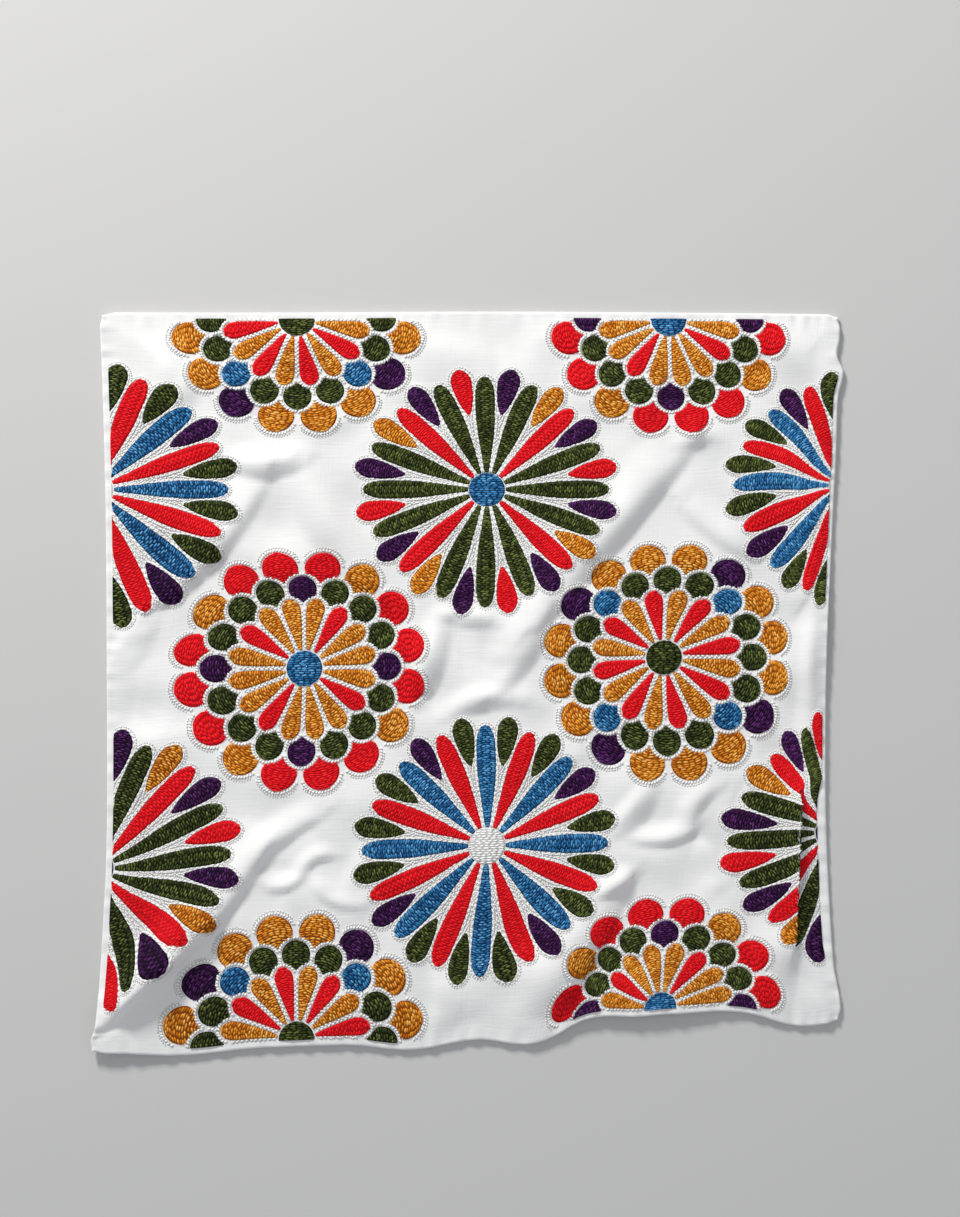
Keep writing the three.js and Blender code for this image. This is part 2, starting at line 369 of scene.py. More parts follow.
# Heights of the main creases, and of the crumples and waves, on a square grid of places over the cover
GRID_REACH = 216
GRID_PITCH = 1
GRID_MARGIN = 0.001
grid_line = np.arange(-GRID_REACH, GRID_REACH + GRID_PITCH, GRID_PITCH, dtype=float)
grid_y, grid_x = (grid.ravel() for grid in np.meshgrid(grid_line, grid_line, indexing="ij"))


def added_up(creases):
    """Heights of creases on the grid, one on top of another"""
    return sum(crease_height(crease, grid_x, grid_y) for crease in creases)


main_relief = added_up(CREASES).reshape(len(grid_line), -1)
small_relief = (added_up(crumples()) + uneven(grid_x, grid_y)).reshape(len(grid_line), -1)


def relief_at(relief, x, y):
    """Height of a relief at points, between the places of its grid"""
    last = len(grid_line) - 1 - GRID_MARGIN
    column, row = (np.clip((line + GRID_REACH) / GRID_PITCH, 0, last) for line in (x, y))
    i, j = row.astype(int), column.astype(int)
    up, over = row - i, column - j
    low = relief[i, j] * (1 - over) + relief[i, j + 1] * over
    high = relief[i + 1, j] * (1 - over) + relief[i + 1, j + 1] * over
    return low * (1 - up) + high * up


def puckers(u, v, fade):
    """Height of the small puckers that the sewing draws in along the seam"""
    along = np.where(np.abs(u) > np.abs(v), v, u)
    waves = sum(np.sin(2 * np.pi * along / length + length) for length in PUCKER_LENGTHS)
    return PUCKER_HEIGHT * waves * fade


def lifted(x, y):
    """Height at which both panels leave the floor"""
    return sum(rise * hill(np.hypot(x - at[0], y - at[1]) / reach) for at, reach, rise in LIFTS)


def cloth(u, v):
    """Upper side of the front cloth over points of the flat panel: rows of X, Y and Z"""
    x, y = lain(u, v)
    drag, rise = pleat(u, v)
    from_seam = HALF - np.maximum(np.abs(u), np.abs(v))
    inside = 1 - hill(from_seam / CROWN_RUN)
    creases = relief_at(main_relief, x, y) + rise
    height = SEAM_TOP + CROWN * inside + creases * (SEAM_SHARE + (1 - SEAM_SHARE) * inside)
    height += relief_at(small_relief, x, y) * inside + puckers(u, v, hill(from_seam / PUCKER_RUN))
    turned = 1 - np.clip(from_seam / ROLL, 0, 1)
    z = lifted(x, y) + height - ROLL * (1 - np.sqrt(1 - turned**2))
    return np.stack([x + drag, y, z], axis=1)


# Lines of the lattice: close together where the cloth rolls over and at the pleat, evenly spaced elsewhere
EDGE_LINES = [0, 0.12, 0.4, 0.9, 1.6, 2.6, 4]
LATTICE_PITCH = 2.25
# Where the lines of the pleat begin and end, and their pitch
PLEAT_LINES = (165, 192, 1.1)


def lattice_lines(pitch, fine=None):
    """Places of the lattice lines from seam to seam"""
    edge = np.array(EDGE_LINES)
    inner = HALF - edge[-1]
    even = np.linspace(-inner, inner, round(2 * inner / pitch) + 1)
    if fine:
        low, high, fine_pitch = fine
        close = np.arange(low, high, fine_pitch)
        even = np.concatenate([even[even < low - fine_pitch / 2], close, even[even > high]])
    return np.concatenate([edge - HALF, even[1:-1], (HALF - edge)[::-1]])


def sheet(name, across, upward, side, thick, up):
    """A closed sheet of cloth: its seen side over a lattice, the other side a thickness behind it"""
    columns, rows = len(across), len(upward)
    v, u = (grid.ravel() for grid in np.meshgrid(upward, across, indexing="ij"))
    seen = side(u, v).reshape(rows, columns, 3)
    right, onward = np.gradient(seen, axis=1), np.gradient(seen, axis=0)
    out = np.cross(right, onward) * up
    out /= np.linalg.norm(out, axis=2, keepdims=True)
    hidden = seen - out * thick
    corner = np.arange(rows * columns).reshape(rows, columns)
    a, b, c, d = corner[:-1, :-1], corner[:-1, 1:], corner[1:, 1:], corner[1:, :-1]
    front = np.stack([a, b, c, d], axis=2).reshape(-1, 4)
    rim = np.concatenate([corner[0, :], corner[1:, -1], corner[-1, -2::-1], corner[-2:0:-1, 0]])
    ahead = np.roll(rim, -1)
    back = front[:, ::-1] + rows * columns
    strip = np.stack([ahead, rim, rim + rows * columns, ahead + rows * columns], axis=1)
    faces = np.concatenate([front, back, strip])
    if up < 0:
        faces = faces[:, ::-1]
    mesh = bpy.data.meshes.new(name)
    points = np.concatenate([seen.reshape(-1, 3), hidden.reshape(-1, 3)]) * MM
    mesh.from_pydata(points.tolist(), [], faces.tolist())
    mesh.polygons.foreach_set("use_smooth", np.ones(len(faces), bool))
    flat = np.tile(np.stack([u, v], axis=1) * MM, (2, 1))
    corners = np.zeros(len(mesh.loops), np.int32)
    mesh.loops.foreach_get("vertex_index", corners)
    cut = mesh.uv_layers.new(name="cloth_flat")
    cut.data.foreach_set("uv", flat[corners].astype(np.float32).ravel())
    mesh.update()
    piece = bpy.data.objects.new(name, mesh)
    bpy.context.collection.objects.link(piece)
    return piece


def set_inputs(node, **values):
    """Gives inputs of a node values that are the same all over, with _ for a space in their names"""
    for name, value in values.items():
        node.inputs[name.replace("_", " ")].default_value = value
    return node


def new_material(name, **finish):
    """A cloth material with its constant finish set, and its nodes and links"""
    material = bpy.data.materials.new(name)
    material.use_nodes = True
    nodes, links = material.node_tree.nodes, material.node_tree.links
    shader = set_inputs(nodes["Principled BSDF"], Sheen_Roughness=0.5, **finish)
    return material, nodes, links, shader


# Plain weave, in metres: the pitch and depth of its threads and the depth of their slubs, which run along
# either thread. Its tone is mottled in patches far wider. A wave texture's bands are 0.314 apart at scale 1.
THREAD_PITCH = 0.00062
WEAVE_DEPTH = 0.00006
SLUB_DEPTH = 0.00025
SLUB_SCALES = ((60, 900, 1), (900, 60, 1))
MOTTLE_SCALE = 28
MOTTLE_TONES = (0.3, 0.65)
BAND_PITCH = 0.314


def cotton(name, light, shade):
    """White cotton canvas, with its threads along the cloth's own two directions"""
    finish = {"Roughness": 0.88, "Sheen_Weight": 0.1, "Specular_IOR_Level": 0.2}
    material, nodes, links, shader = new_material(name, **finish)
    flat = nodes.new("ShaderNodeUVMap")
    flat.uv_map = "cloth_flat"
    waves = []
    for direction in ("X", "Y"):
        wave = nodes.new("ShaderNodeTexWave")
        wave.bands_direction = direction
        set_inputs(wave, Scale=BAND_PITCH / THREAD_PITCH, Distortion=0.7, Detail_Scale=1.5)
        links.new(flat.outputs["UV"], wave.inputs["Vector"])
        waves.append(wave)
    weave = nodes.new("ShaderNodeMath")
    weave.operation = "MULTIPLY"
    links.new(waves[0].outputs["Fac"], weave.inputs[0])
    links.new(waves[1].outputs["Fac"], weave.inputs[1])
    slubs = []
    for stretch in SLUB_SCALES:
        along = set_inputs(nodes.new("ShaderNodeMapping"), Scale=stretch)
        slub = set_inputs(nodes.new("ShaderNodeTexNoise"), Scale=1, Detail=3)
        links.new(flat.outputs["UV"], along.inputs["Vector"])
        links.new(along.outputs["Vector"], slub.inputs["Vector"])
        slubs.append(slub)
    slubbing = nodes.new("ShaderNodeMath")
    slubbing.operation = "ADD"
    links.new(slubs[0].outputs["Fac"], slubbing.inputs[0])
    links.new(slubs[1].outputs["Fac"], slubbing.inputs[1])
    rough = set_inputs(nodes.new("ShaderNodeBump"), Strength=0.5, Distance=SLUB_DEPTH)
    links.new(slubbing.outputs["Value"], rough.inputs["Height"])
    fine = set_inputs(nodes.new("ShaderNodeBump"), Strength=0.6, Distance=WEAVE_DEPTH)
    links.new(weave.outputs["Value"], fine.inputs["Height"])
    links.new(rough.outputs["Normal"], fine.inputs["Normal"])
    links.new(fine.outputs["Normal"], shader.inputs["Normal"])
    mottle = set_inputs(nodes.new("ShaderNodeTexNoise"), Scale=MOTTLE_SCALE, Detail=4)
    links.new(flat.outputs["UV"], mottle.inputs["Vector"])
    tints = nodes.new("ShaderNodeValToRGB")
    for stop, position, tint in zip(tints.color_ramp.elements, MOTTLE_TONES, (shade, light)):
        stop.position = position
        stop.color = tint
    links.new(mottle.outputs["Fac"], tints.inputs["Fac"])
    links.new(tints.outputs["Color"], shader.inputs["Base Color"])
    return material


FRONT_LIGHT = (0.90, 0.895, 0.885, 1)
FRONT_SHADE = (0.83, 0.825, 0.815, 1)
front = sheet(
    "embroidered_front",
    lattice_lines(LATTICE_PITCH, PLEAT_LINES),
    lattice_lines(LATTICE_PITCH),
    cloth,
    FRONT_THICK,
    1,
)
front.data.materials.append(cotton("white_cotton", FRONT_LIGHT, FRONT_SHADE))
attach(front, "root")
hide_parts("front_panel")

# Embroidery: flowers in wool yarn over the whole front, bursts and rosettes in turn, cut off where the cloth
# is sewn. Every petal and scale is filled with short close stitches over a padding of the same yarn, and
# edged with white. Places and sizes are on the flat cloth, and angles run clockwise from the top.
PETALS = 16
STEP = math.tau / PETALS
HALF_STEP = STEP / 2
# How far from the cover's middle the stitches reach, just short of the seam
STITCHED_TO = 199.4
# Kind, flat place of the middle, and how much wider than high: the middles of the side flowers fall beyond
# the seams, and what is left of them is drawn out
SIDE_MIDDLE = 209.5
SIDE_STRETCH = 1.15
FLOWERS = [
    ("blue burst", 0, QUARTER, 1),
    ("blue burst", -SIDE_MIDDLE, -QUARTER, SIDE_STRETCH),
    ("blue burst", SIDE_MIDDLE, -QUARTER, SIDE_STRETCH),
    ("white burst", 0, -QUARTER, 1),
    ("white burst", -SIDE_MIDDLE, QUARTER, SIDE_STRETCH),
    ("white burst", SIDE_MIDDLE, QUARTER, SIDE_STRETCH),
    ("blue rosette", -QUARTER, 0, 1),
    ("blue rosette", QUARTER, 2 * QUARTER, 1),
    ("blue rosette", QUARTER, -2 * QUARTER, 1),
    ("green rosette", QUARTER, 0, 1),
    ("green rosette", -QUARTER, 2 * QUARTER, 1),
    ("green rosette", -QUARTER, -2 * QUARTER, 1),
]
# The yarns of each flower, from the top clockwise and over again
YARNS = {
    "blue burst": {
        "middle": ["blue"],
        "long": ["green", "green", "red", "green"],
        "short": ["purple", "ochre", "purple", "red"],
    },
    "white burst": {
        "middle": ["white"],
        "long": ["blue", "red"],
        "short": ["green", "green", "purple", "green"],
    },
    "blue rosette": {
        "middle": ["blue"],
        "inner": ["ochre", "red", "ochre", "ochre"],
        "scale": ["purple", "green", "green", "green"],
        "outer": ["red", "ochre", "red", "red"],
    },
    "green rosette": {
        "middle": ["green"],
        "inner": ["ochre", "red"],
        "scale": ["green", "green", "blue", "green"],
        "outer": ["ochre", "purple", "ochre", "ochre"],
    },
}
# Shapes that are filled row by row: distance from the flower's middle, and half the shape's width there
SHAPES = {
    "middle": [(-9.7, 0.4), (-9.4, 2.3), (-8.4, 4.9), (-6.3, 7.4), (-3.3, 9.1), (0, 9.7), (3.3, 9.1),
               (6.3, 7.4), (8.4, 4.9), (9.4, 2.3), (9.7, 0.4)],
    "long": [(10, 0.9), (11, 1.35), (14, 1.75), (20, 2.55), (26, 3.45), (32, 4.2), (38, 4.85), (44, 5.15),
             (52, 5.2), (57, 5), (60.5, 4.4), (63, 3.4), (64.6, 2), (65.3, 0.4)],
    "short": [(43.4, 0.3), (45.5, 1.4), (48.5, 2.75), (52, 3.9), (56, 4.85), (60, 5.45), (63.5, 5.7),
              (66.3, 5.1), (68.3, 3.9), (69.8, 2.3), (70.6, 0.5)],
    "inner": [(10.2, 0.7), (11.6, 1.1), (15, 1.8), (20, 2.8), (25, 3.8), (30, 4.65), (33.5, 5), (36, 4.6),
              (37.8, 3.4), (38.9, 1.9), (39.3, 0.4)],
    "scale": [(37.1, 0.3), (37.8, 0.9), (38.5, 1.5), (39.5, 2.7), (40.3, 4.2), (40.9, 5.9), (42.3, 7.1),
              (45.4, 7.7), (48.5, 7.05), (50.6, 5.7), (52.1, 3.8), (52.9, 1.9), (53.1, 0.4)],
    "outer": [(49.4, 0.3), (51, 1.25), (52.4, 2.7), (53.6, 4.8), (54.4, 7.4), (55, 9.1), (57.5, 9.8),
              (60.5, 9.4), (63.2, 8.1), (65.3, 6), (66.5, 3.8), (67.1, 1.9), (67.3, 0.4)],
}
# Rows of stitches: their pitch, how far the first and last are from the shape's ends, what is taken off the
# shape's length when they are counted, and half the width from which every other row has a stitch more
ROW_PITCH = 1.2
FIRST_ROW, LAST_ROW = 0.8, 0.9
BARE_ENDS = 1
STAGGER_FROM = 1.6
# One stitch: its length, how much longer it is made to lap over the next, and how far it strays
DASH = 3.5
DASH_LAP = 1.12
STRAY = 0.09
STRAY_SEED = 5
# How far a row bows towards the tip, and the square of the share of the way out at which it keeps its place
BOW = 0.5
BOW_KEPT = 0.4
# Tone of a stitch in the middle of a shape, and the painted shade that darkens it towards the edge
MIDDLE_TONE = 0.66
PAINTED_EDGE_SHADE = 0.24
# Padding: its height, the share of it at a point of the shape, half the width that adds all of it, how far
# it stays inside the shape's ends, its rows, and its columns as shares of the way out to the edge
PADDING = 0.7
PAD_LEAST = 0.3
PAD_FULL = 5
PAD_INSET = 0.7
PAD_ROWS = 12
PAD_SHARES = (-1, -0.86, -0.45, 0, 0.45, 0.86, 1)

# One piece for each colour of yarn, and one for each kind of white stitching between them
YARN_PIECES = [
    "red_embroidery",
    "green_embroidery",
    "ochre_embroidery",
    "purple_embroidery",
    "blue_embroidery",
    "white_embroidery",
    "white_seed_stitches",
    "white_burst_outlines",
    "white_rosette_borders",
]
stitches = {piece: [] for piece in YARN_PIECES}
pads = {piece: [] for piece in YARN_PIECES}
stray = np.random.default_rng(STRAY_SEED)


def padding(share, half):
    """Height of the yarn at a share of the way from a shape's middle to its edge, lower if it is narrow"""
    return PADDING * np.minimum(1, PAD_LEAST + half / PAD_FULL) * np.sqrt(np.maximum(0, 1 - share**2))


def at_angle(flower, angle, out, aside):
    """Flat place of a point that lies out along a petal's middle line and aside from it"""
    _, u, v, stretch = flower
    return (
        u + (out * math.sin(angle) + aside * math.cos(angle)) * stretch,
        v + out * math.cos(angle) - aside * math.sin(angle),
    )


def sew(piece, u, v, run_u, run_v, length, width, height, tone):
    """Notes stitches: flat places, flat directions, lengths, widths, heights of their middles, and tones"""
    run = np.arctan2(run_v, run_u) + stray.normal(0, STRAY, np.shape(run_u))
    off_u, off_v = stray.normal(0, STRAY, (2, *np.shape(u)))
    u, v = u + off_u, v + off_v
    columns = np.broadcast_arrays(u, v, np.cos(run), np.sin(run), length, width, height, tone)
    stitches[piece].append(np.stack([np.ravel(column).astype(float) for column in columns], axis=1))


def lay_pad(piece, u, v, height):
    """Notes a patch of padding over a grid of flat places"""
    pads[piece].append((u, v, np.broadcast_to(height, np.shape(u))))


def filled(piece, flower, kind, angle):
    """A petal or scale: its padding, and rows of stitches across it that bow towards the tip"""
    out, half = np.array(SHAPES[kind], float).T
    bow = 0 if kind == "middle" else BOW
    pad_rows = np.linspace(out[0] + PAD_INSET, out[-1] - PAD_INSET, PAD_ROWS)
    pad_out = np.concatenate([out[:1], pad_rows, out[-1:]])
    pad_half = np.interp(pad_out, out, half)[:, None]
    share = np.array(PAD_SHARES)
    u, v = at_angle(flower, angle, np.repeat(pad_out[:, None], len(share), axis=1), share * pad_half)
    ends = np.ones((len(pad_out), 1))
    ends[[0, -1]] = 0
    lay_pad(piece, u, v, padding(share, pad_half) * ends)
    rows = round((out[-1] - out[0] - BARE_ENDS) / ROW_PITCH)
    for row, at in enumerate(np.linspace(out[0] + FIRST_ROW, out[-1] - LAST_ROW, rows)):
        wide = np.interp(at, out, half)
        count = max(1, round(2 * wide / DASH)) + (row % 2 if wide > STAGGER_FROM else 0)
        share = (2 * np.arange(count) + 1) / count - 1
        bowed = at + bow * wide * (BOW_KEPT - share**2) * 0.5
        u, v = at_angle(flower, angle, bowed, share * wide)
        lean = -bow * share
        run_u = lean * math.sin(angle) + math.cos(angle)
        run_v = lean * math.cos(angle) - math.sin(angle)
        length = DASH_LAP * 2 * wide / count
        # Tone of each stitch: painted shade deepens it towards the shape's edge, where the padding rounds
        # down
        tone = MIDDLE_TONE - PAINTED_EDGE_SHADE * share**2
        sew(piece, u, v, run_u, run_v, length, ROW_PITCH, padding(share, wide), tone)


# White edging. Each kind of row has its stitches' pitch along the line, length, width, slant from the line
# in degrees, how far aside they lie by turns, and the width of a grey strip of painted shade under them
ROWS_OF_WHITE = {
    "outline": {"pitch": 2.8, "length": 3.4, "width": 0.9, "slant": 5, "aside": (0,), "shade": 0},
    "border": {"pitch": 1.6, "length": 2.3, "width": 1.35, "slant": 55, "aside": (0,), "shade": 1.9},
    "plait": {"pitch": 1.15, "length": 2.2, "width": 1.3, "slant": 32, "aside": (-0.5, 0.5), "shade": 2.1},
    "ticks": {"pitch": 1.5, "length": 0.9, "width": 0.85, "slant": 90, "aside": (0,), "shade": 0.7},
}
# Height of the white stitches, height of the grey strips of painted shade under them, and the stitches' tone
WHITE_RISE = 0.3
SHADE_RISE = 0.06
WHITE_TONE = 0.75
# How far to each side of a stitch the direction of its line is read
LINE_STEP = 0.2


def white_row(piece, kind, u, v):
    """A row of white stitches along a line of flat places, over a narrow grey strip of painted shade"""
    row = ROWS_OF_WHITE[kind]
    run = np.concatenate([[0], np.cumsum(np.hypot(np.diff(u), np.diff(v)))])
    count = max(2, round(run[-1] / row["pitch"]))
    at = (np.arange(count) + 0.5) / count * run[-1]
    ends = [np.clip(at + move, 0, run[-1]) for move in (-LINE_STEP, LINE_STEP)]
    along_u, along_v = (np.diff([np.interp(end, run, line) for end in ends], axis=0)[0] for line in (u, v))
    length = np.hypot(along_u, along_v)
    along_u, along_v = along_u / length, along_v / length
    turn = np.arange(count) % len(row["aside"])
    aside = np.array(row["aside"])[turn]
    slant = math.radians(row["slant"]) * np.where(turn > 0, -1, 1)
    here_u = np.interp(at, run, u) - along_v * aside
    here_v = np.interp(at, run, v) + along_u * aside
    run_u = along_u * np.cos(slant) - along_v * np.sin(slant)
    run_v = along_u * np.sin(slant) + along_v * np.cos(slant)
    sew(piece, here_u, here_v, run_u, run_v, row["length"], row["width"], WHITE_RISE, WHITE_TONE)
    # A grey strip of painted shade under the row, in the white yarn's darkest stop
    if row["shade"]:
        share = np.array([[-0.5], [0], [0.5]]) * row["shade"]
        mid_u, mid_v = np.interp(at, run, u), np.interp(at, run, v)
        height = np.array([[0], [SHADE_RISE], [0]])
        lay_pad(piece, mid_u - along_v * share, mid_v + along_u * share, height)


# Points on the lines that white rows follow
ARC_POINTS = 40
SPOKE_POINTS = 20
OUTLINE_POINTS = 60


def arc(flower, angle, ring, away):
    """Flat places on an arc at a distance from a scale's round end, open towards the flower's middle"""
    out, radius, opening = ring
    turn = np.radians(np.linspace(-opening, opening, ARC_POINTS))
    radius = radius + away
    return at_angle(flower, angle, out + radius * np.cos(turn), radius * np.sin(turn))


def spoke(flower, angle, ends):
    """Flat places on a line out from the flower's middle"""
    out = np.linspace(*ends, SPOKE_POINTS)
    return at_angle(flower, angle, out, 0 * out)


def outline(flower, kind, angle, away, start=0):
    """Flat places on a line at a distance from a petal's edge, open at its inner end or from a start on"""
    out, half = np.array(SHAPES[kind], float).T
    fine = np.linspace(0, len(out) - 1, OUTLINE_POINTS)
    out, half = (np.interp(fine, np.arange(len(out)), line) for line in (out, half))
    rise, spread = np.gradient(out), np.gradient(half)
    length = np.hypot(rise, spread)
    kept = out > start
    out, half = (out - away * spread / length)[kept], (half + away * rise / length)[kept]
    return at_angle(flower, angle, np.concatenate([out, out[::-1]]), np.concatenate([half, -half[::-1]]))


# Seed stitches between two long petals, in staggered rows from the middle to the short petal
SEED_FROM, SEED_TO = 12, 44.5
SEED_ROW = 1.1
SEED_APART = 1.3
SEED_LENGTH, SEED_WIDTH = 1.5, 0.95
SEED_CLEAR = 1.0
SEED_COLUMNS = 5


def seeded(piece, flower, angle):
    """The wedge between two long petals: a grey patch of painted shade, with white stitches set in it like
    seeds
    """
    out, half = np.array(SHAPES["long"], float).T
    rows = np.arange(SEED_FROM, SEED_TO, SEED_ROW)
    room = rows * math.tan(HALF_STEP) - np.interp(rows, out, half) / math.cos(HALF_STEP)
    share = np.linspace(-1, 1, SEED_COLUMNS)
    u, v = at_angle(flower, angle, np.repeat(rows[:, None], len(share), axis=1), share * room[:, None])
    # Grey padding of painted shade over the whole wedge
    lay_pad(piece, u, v, SHADE_RISE)
    along = math.sin(angle), math.cos(angle)
    for i, (at, wide) in enumerate(zip(rows, room - SEED_CLEAR)):
        count = max(1, round(2 * wide / SEED_APART) + i % 2)
        aside = np.linspace(-1, 1, count) * max(wide, 0) if count > 1 else np.zeros(1)
        u, v = at_angle(flower, angle, at, aside)
        here = np.ones(count)
        sew(piece, u, v, along[0] * here, along[1] * here, SEED_LENGTH, SEED_WIDTH, WHITE_RISE, WHITE_TONE)


# White round a burst's petals: how far outline and ticks are from the yarn, and how far out the ticks begin
OUTLINE_CLEAR = 0.4
TICKS_CLEAR = 1.5
TICKS_FROM = {"long": 59, "short": 57}
# White in a rosette: how far a border's middle is from the yarn, rings of arcs by how far out their middles
# are, their radius and the degrees to each side, and spokes by how far out they begin and end
BORDER = 1.25
RINGS = {
    "inner": (34.3, 4.9, 82),
    "scale": (45.4, 7.7, 82),
    "outer": (57.5, 9.8, 76),
    "ticks": (57.5, 9.8, 62),
}
LONG_SPOKE = (11.4, 33.5)
SHORT_SPOKE = (41, 45.5)
for flower in FLOWERS:
    yarns = YARNS[flower[0]]
    filled(yarns["middle"][0] + "_embroidery", flower, "middle", 0)
    for i in range(PETALS):
        angle = i * STEP
        between = angle + HALF_STEP
        yarn = {kind: order[i % len(order)] + "_embroidery" for kind, order in yarns.items()}
        if "long" in yarns:
            filled(yarn["long"], flower, "long", angle)
            filled(yarn["short"], flower, "short", between)
            seeded("white_seed_stitches", flower, between)
            piece = "white_burst_outlines"
            petals = (("long", angle), ("short", between))
            for kind, way in petals:
                white_row(piece, "outline", *outline(flower, kind, way, OUTLINE_CLEAR))
            for kind, way in petals:
                white_row(piece, "ticks", *outline(flower, kind, way, TICKS_CLEAR, TICKS_FROM[kind]))
        else:
            filled(yarn["inner"], flower, "inner", between)
            filled(yarn["scale"], flower, "scale", angle)
            filled(yarn["outer"], flower, "outer", between)
            piece = "white_rosette_borders"
            white_row(piece, "plait", *spoke(flower, angle, LONG_SPOKE))
            white_row(piece, "border", *arc(flower, between, RINGS["inner"], BORDER))
            white_row(piece, "border", *arc(flower, angle, RINGS["scale"], BORDER))
            white_row(piece, "border", *spoke(flower, between, SHORT_SPOKE))
            white_row(piece, "border", *arc(flower, between, RINGS["outer"], BORDER))
            white_row(piece, "ticks", *arc(flower, between, RINGS["ticks"], BORDER + TICKS_CLEAR))


def stitching_tree():
    """Nodes that set a bead of yarn on every stitch's place and add them to the padding"""
    tree = bpy.data.node_groups.new("stitching", "GeometryNodeTree")
    sockets = [
        ("Stitches", "Geometry"),
        ("Padding", "Object"),
        ("Yarn", "Material"),
        ("Height", "Float"),
        ("Unevenness", "Float"),
        ("Tone spread", "Float"),
        ("Seed", "Int"),
    ]
    for name, kind in sockets:
        tree.interface.new_socket(name, in_out="INPUT", socket_type="NodeSocket" + kind)
    tree.interface.new_socket("Embroidery", in_out="OUTPUT", socket_type="NodeSocketGeometry")
    nodes, links = tree.nodes, tree.links
    given, result = nodes.new("NodeGroupInput"), nodes.new("NodeGroupOutput")

    def noted(name, kind):
        reader = nodes.new("GeometryNodeInputNamedAttribute")
        reader.data_type = kind
        reader.inputs["Name"].default_value = name
        return reader.outputs["Attribute"]

    def vector_math(operation, a, b):
        step = nodes.new("ShaderNodeVectorMath")
        step.operation = operation
        links.new(a, step.inputs[0])
        links.new(b, step.inputs["Scale" if operation == "SCALE" else 1])
        return step.outputs["Vector"]

    bead = set_inputs(nodes.new("GeometryNodeMeshIcoSphere"), Radius=0.5, Subdivisions=1)
    along = nodes.new("FunctionNodeAlignRotationToVector")
    along.axis = "X"
    links.new(noted("run", "FLOAT_VECTOR"), along.inputs["Vector"])
    upright = nodes.new("FunctionNodeAlignRotationToVector")
    upright.axis = "Z"
    upright.pivot_axis = "X"
    links.new(along.outputs["Rotation"], upright.inputs["Rotation"])
    links.new(noted("out", "FLOAT_VECTOR"), upright.inputs["Vector"])
    size = nodes.new("ShaderNodeCombineXYZ")
    links.new(noted("reach", "FLOAT"), size.inputs["X"])
    links.new(noted("girth", "FLOAT"), size.inputs["Y"])
    links.new(given.outputs["Height"], size.inputs["Z"])
    spread = nodes.new("FunctionNodeRandomValue")
    spread.data_type = "FLOAT_VECTOR"
    spread.inputs["Min"].default_value = (-1, -1, -1)
    spread.inputs["Max"].default_value = (1, 1, 1)
    links.new(given.outputs["Seed"], spread.inputs["Seed"])
    strayed_by = vector_math("MULTIPLY", size.outputs["Vector"], spread.outputs["Value"])
    strayed_by = vector_math("SCALE", strayed_by, given.outputs["Unevenness"])
    placed = nodes.new("GeometryNodeInstanceOnPoints")
    links.new(given.outputs["Stitches"], placed.inputs["Points"])
    links.new(bead.outputs["Mesh"], placed.inputs["Instance"])
    links.new(upright.outputs["Rotation"], placed.inputs["Rotation"])
    links.new(vector_math("ADD", size.outputs["Vector"], strayed_by), placed.inputs["Scale"])
    # Each bead's tone: a random spread about the tone noted as lit, which holds painted shade at a shape's
    # edge
    shade = nodes.new("FunctionNodeRandomValue")
    shade.data_type = "FLOAT"
    shade.inputs[2].default_value = -1
    links.new(given.outputs["Seed"], shade.inputs["Seed"])
    tone = nodes.new("ShaderNodeMath")
    tone.operation = "MULTIPLY_ADD"
    links.new(shade.outputs[1], tone.inputs[0])
    links.new(given.outputs["Tone spread"], tone.inputs[1])
    links.new(noted("lit", "FLOAT"), tone.inputs[2])
    toned = nodes.new("GeometryNodeStoreNamedAttribute")
    toned.data_type = "FLOAT"
    toned.domain = "INSTANCE"
    toned.inputs["Name"].default_value = "tone"
    links.new(placed.outputs["Instances"], toned.inputs["Geometry"])
    links.new(tone.outputs["Value"], toned.inputs["Value"])
    padded = nodes.new("GeometryNodeObjectInfo")
    links.new(given.outputs["Padding"], padded.inputs["Object"])
    joined = nodes.new("GeometryNodeJoinGeometry")
    links.new(toned.outputs["Geometry"], joined.inputs["Geometry"])
    links.new(padded.outputs["Geometry"], joined.inputs["Geometry"])
    smooth = nodes.new("GeometryNodeSetShadeSmooth")
    links.new(joined.outputs["Geometry"], smooth.inputs["Geometry"])
    real = nodes.new("GeometryNodeRealizeInstances")
    links.new(smooth.outputs["Geometry"], real.inputs["Geometry"])
    dyed = nodes.new("GeometryNodeSetMaterial")
    links.new(real.outputs["Geometry"], dyed.inputs["Geometry"])
    links.new(given.outputs["Yarn"], dyed.inputs["Material"])
    links.new(dyed.outputs["Geometry"], result.inputs["Embroidery"])
    return tree


# How far to each side the cloth's directions are read, and the distance in metres at which points are one
CLOTH_STEP = 0.3
WELD = 1e-6


def on_cloth(u, v, height):
    """Places above the front cloth, with its outward direction and its two flat directions there"""
    here = cloth(u, v)
    right = cloth(u + CLOTH_STEP, v) - cloth(u - CLOTH_STEP, v)
    onward = cloth(u, v + CLOTH_STEP) - cloth(u, v - CLOTH_STEP)
    out = np.cross(right, onward)
    out /= np.linalg.norm(out, axis=1, keepdims=True)
    return here + out * height[:, None], out, right, onward


